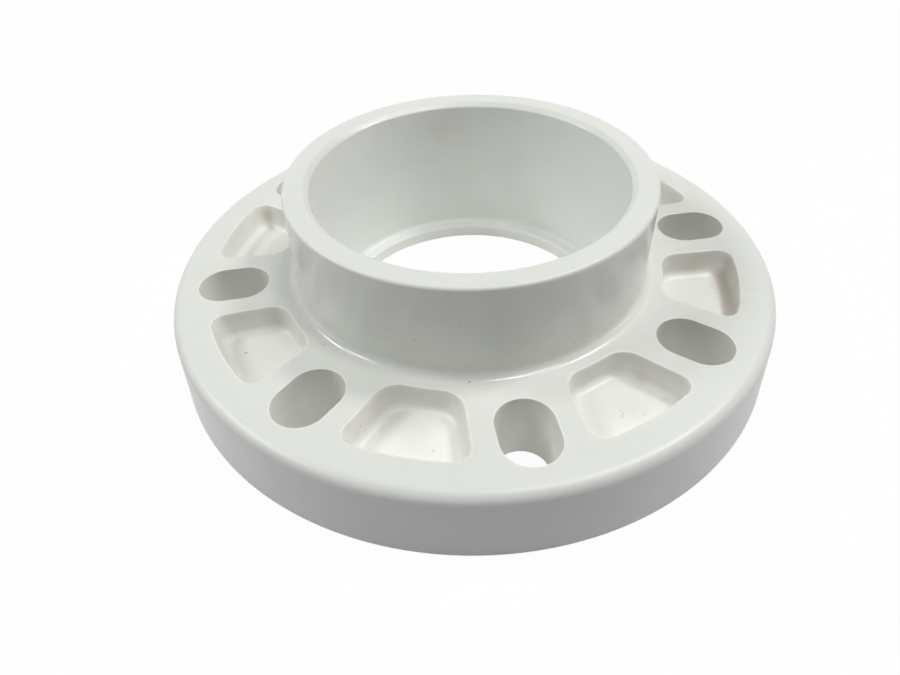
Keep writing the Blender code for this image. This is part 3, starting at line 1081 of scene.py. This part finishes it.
# %% Floor
FLOOR_HALF_WIDTH = 4.0
FLOOR_DROP = 0.0002
FLOOR_GREY = (0.545, 0.525, 0.600, 1.0)
SHEET_WHITE = (0.900, 0.900, 0.900, 1.0)
SHEET_RADIUS = 0.108
SHEET_FADE = 0.003
SHADOW_SHARE = 0.04
WHITE = (1.0, 1.0, 1.0, 1.0)


def seen_directly(tree):
    """One for camera, glossy and transmission rays, zero for the rays that carry light."""
    path = tree.nodes.new("ShaderNodeLightPath").outputs
    either = calculate(tree, "MAXIMUM", path["Is Camera Ray"], path["Is Glossy Ray"])
    return calculate(tree, "MAXIMUM", either, path["Is Transmission Ray"])


def mixed(tree, factor, first, second):
    """A Mix Shader of two shaders' outputs."""
    node = tree.nodes.new("ShaderNodeMixShader")
    fill(tree, node.inputs[0], factor)
    tree.links.new(first, node.inputs[1])
    tree.links.new(second, node.inputs[2])
    return node.outputs[0]


def matt(tree, colour):
    """A diffuse shader's output."""
    node = tree.nodes.new("ShaderNodeBsdfDiffuse")
    fill(tree, node.inputs["Color"], colour)
    return node.outputs[0]


floor_corners = [
    (x * FLOOR_HALF_WIDTH, y * FLOOR_HALF_WIDTH, -FLOOR_DROP)
    for x, y in ((-1, -1), (1, -1), (1, 1), (-1, 1))
]
floor_mesh = bpy.data.meshes.new("floor")
floor_mesh.from_pydata(floor_corners, [], [(0, 1, 2, 3)])
floor = bpy.data.objects.new("floor", floor_mesh)
bpy.context.scene.collection.objects.link(floor)
floor_material = bpy.data.materials.new("pale floor")
floor_material.use_nodes = True
tree = floor_material.node_tree
tree.nodes.clear()
glow = tree.nodes.new("ShaderNodeEmission")
glow.inputs["Color"].default_value = WHITE
shown = mixed(tree, SHADOW_SHARE, glow.outputs[0], matt(tree, WHITE))
from_middle = tree.nodes.new("ShaderNodeVectorMath")
from_middle.operation = "LENGTH"
fill(tree, from_middle.inputs[0], tree.nodes.new("ShaderNodeTexCoord").outputs["Object"])
sheet = ramp(tree, from_middle.outputs["Value"], SHEET_RADIUS, SHEET_RADIUS - SHEET_FADE)
lit = matt(tree, blend(tree, sheet, FLOOR_GREY, SHEET_WHITE))
surface = mixed(tree, seen_directly(tree), lit, shown)
tree.links.new(surface, tree.nodes.new("ShaderNodeOutputMaterial").inputs["Surface"])
floor.data.materials.append(floor_material)
print("floor half width in metres:", FLOOR_HALF_WIDTH)

# %% [markdown]
# ## Light
#
# The shadows tell where the lamps stood. The hub's shadow falls short to the left, so the strongest
# lamps were high on the right: three, 58 to 78 degrees up. Each pocket's left wall shades a strip
# of its floor, so two others stood lower on the left, at about 45 degrees. Shadow edges are rather
# sharp, so the lamps were small or far away. Their strengths were weighed against the photo one
# lamp at a time. Two low cards brighten the rim, the right one pinkish, and the room adds little.

# %% Lamps and room
LAMP_DISTANCE = 1.2
LAMP_SIZE, CARD_SIZE = (0.22, 0.22), (0.50, 0.25)
NEUTRAL, PINKISH = (1.0, 1.0, 1.0), (1.0, 0.80, 0.84)


def softbox(name, bearing, elevation, size, radiance, tint):
    """A flat area lamp aimed at the flange, its size given as width and height.

    The bearing is counted from beyond the object towards the picture's left. An area lamp of
    radiance L and area A gives pi L A watts.
    """
    data = bpy.data.lights.new(name, "AREA")
    data.shape = "RECTANGLE"
    data.size, data.size_y = size
    data.energy = math.pi * radiance * size[0] * size[1]
    data.color = tint
    lamp = bpy.data.objects.new(name, data)
    turn = math.radians(90.0 + bearing) - VIEW_TURN
    lift = math.radians(elevation)
    level = math.cos(lift)
    towards = Vector((math.cos(turn) * level, math.sin(turn) * level, math.sin(lift)))
    lamp.location = towards * LAMP_DISTANCE
    lamp.rotation_euler = towards.to_track_quat("Z", "Y").to_euler()
    bpy.context.scene.collection.objects.link(lamp)


softbox("left lamp", 78.0, 45.0, LAMP_SIZE, 17.4, NEUTRAL)
softbox("left fill", 104.0, 44.0, LAMP_SIZE, 13.8, NEUTRAL)
softbox("near right lamp", 240.0, 62.0, LAMP_SIZE, 9.8, NEUTRAL)
softbox("high lamp", 255.0, 78.0, LAMP_SIZE, 17.0, NEUTRAL)
softbox("right lamp", 290.0, 58.0, LAMP_SIZE, 27.8, NEUTRAL)
softbox("right card", 272.0, 10.0, CARD_SIZE, 2.8, PINKISH)
softbox("left card", 90.0, 10.0, CARD_SIZE, 1.8, NEUTRAL)

ROOM_STRENGTH = 0.085
world = bpy.data.worlds.new("room")
world.use_nodes = True
tree = world.node_tree
tree.nodes.clear()
backgrounds = []
for strength in (ROOM_STRENGTH, 1.0):
    background = tree.nodes.new("ShaderNodeBackground")
    background.inputs["Color"].default_value = WHITE
    background.inputs["Strength"].default_value = strength
    backgrounds.append(background.outputs[0])
surface = mixed(tree, seen_directly(tree), *backgrounds)
tree.links.new(surface, tree.nodes.new("ShaderNodeOutputWorld").inputs["Surface"])
bpy.context.scene.world = world
bpy.context.scene.view_settings.view_transform = "Standard"
